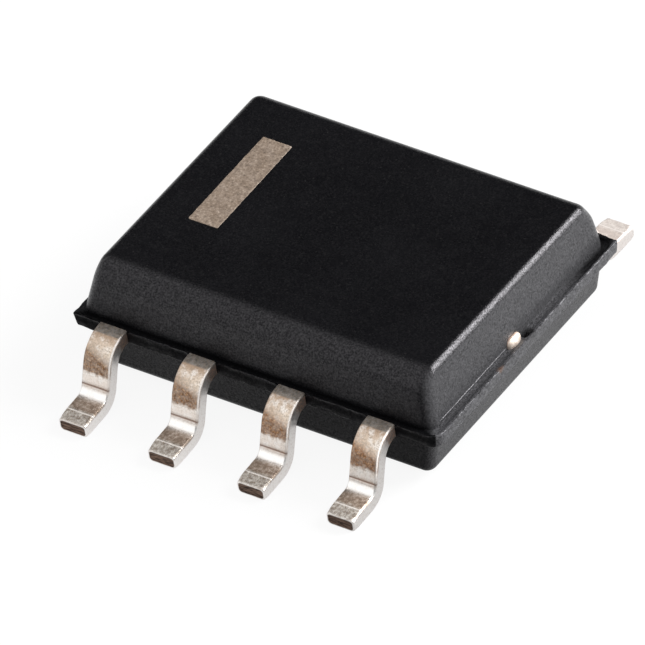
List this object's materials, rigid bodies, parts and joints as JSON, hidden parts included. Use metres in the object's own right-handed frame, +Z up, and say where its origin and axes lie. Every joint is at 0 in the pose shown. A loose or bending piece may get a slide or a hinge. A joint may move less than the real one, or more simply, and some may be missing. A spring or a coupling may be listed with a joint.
{
  "type": "integrated circuit package",
  "caption": "Small-outline integrated circuit: black moulded body with a parting flange, gull-wing leads on both long sides and a light orientation bar on top.",
  "frame": {"origin": "on the seating plane under the feet, below the middle of the moulding", "axes": "+X along the lead rows away from the orientation bar, +Y from the front row (leads 1 to 4) to the back row, +Z up"},
  "size_m": [0.0052, 0.006, 0.0016],
  "materials": {
    "epoxy_moulding": "matte, fine grained",
    "mark_ink": "matte",
    "tin_plating": "satin, stained at the bend",
    "copper_strip": "satin",
    "silver_epoxy": "matte",
    "silicon": "polished",
    "gold_wire": "polished"
  },
  "bodies": {
    "root": {"moulded_body": "epoxy_moulding", "pin_1_mark": "mark_ink", "lead_1": "tin_plating", "lead_2": "tin_plating", "lead_3": "tin_plating", "lead_4": "tin_plating", "lead_5": "tin_plating", "lead_6": "tin_plating", "lead_7": "tin_plating", "lead_8": "tin_plating", "die_pad": "copper_strip", "die_attach": "silver_epoxy", "silicon_die": "silicon", "bond_wire_1": "gold_wire", "bond_wire_2": "gold_wire", "bond_wire_3": "gold_wire", "bond_wire_4": "gold_wire", "bond_wire_5": "gold_wire", "bond_wire_6": "gold_wire", "bond_wire_7": "gold_wire", "bond_wire_8": "gold_wire"}
  },
  "joints": []
}
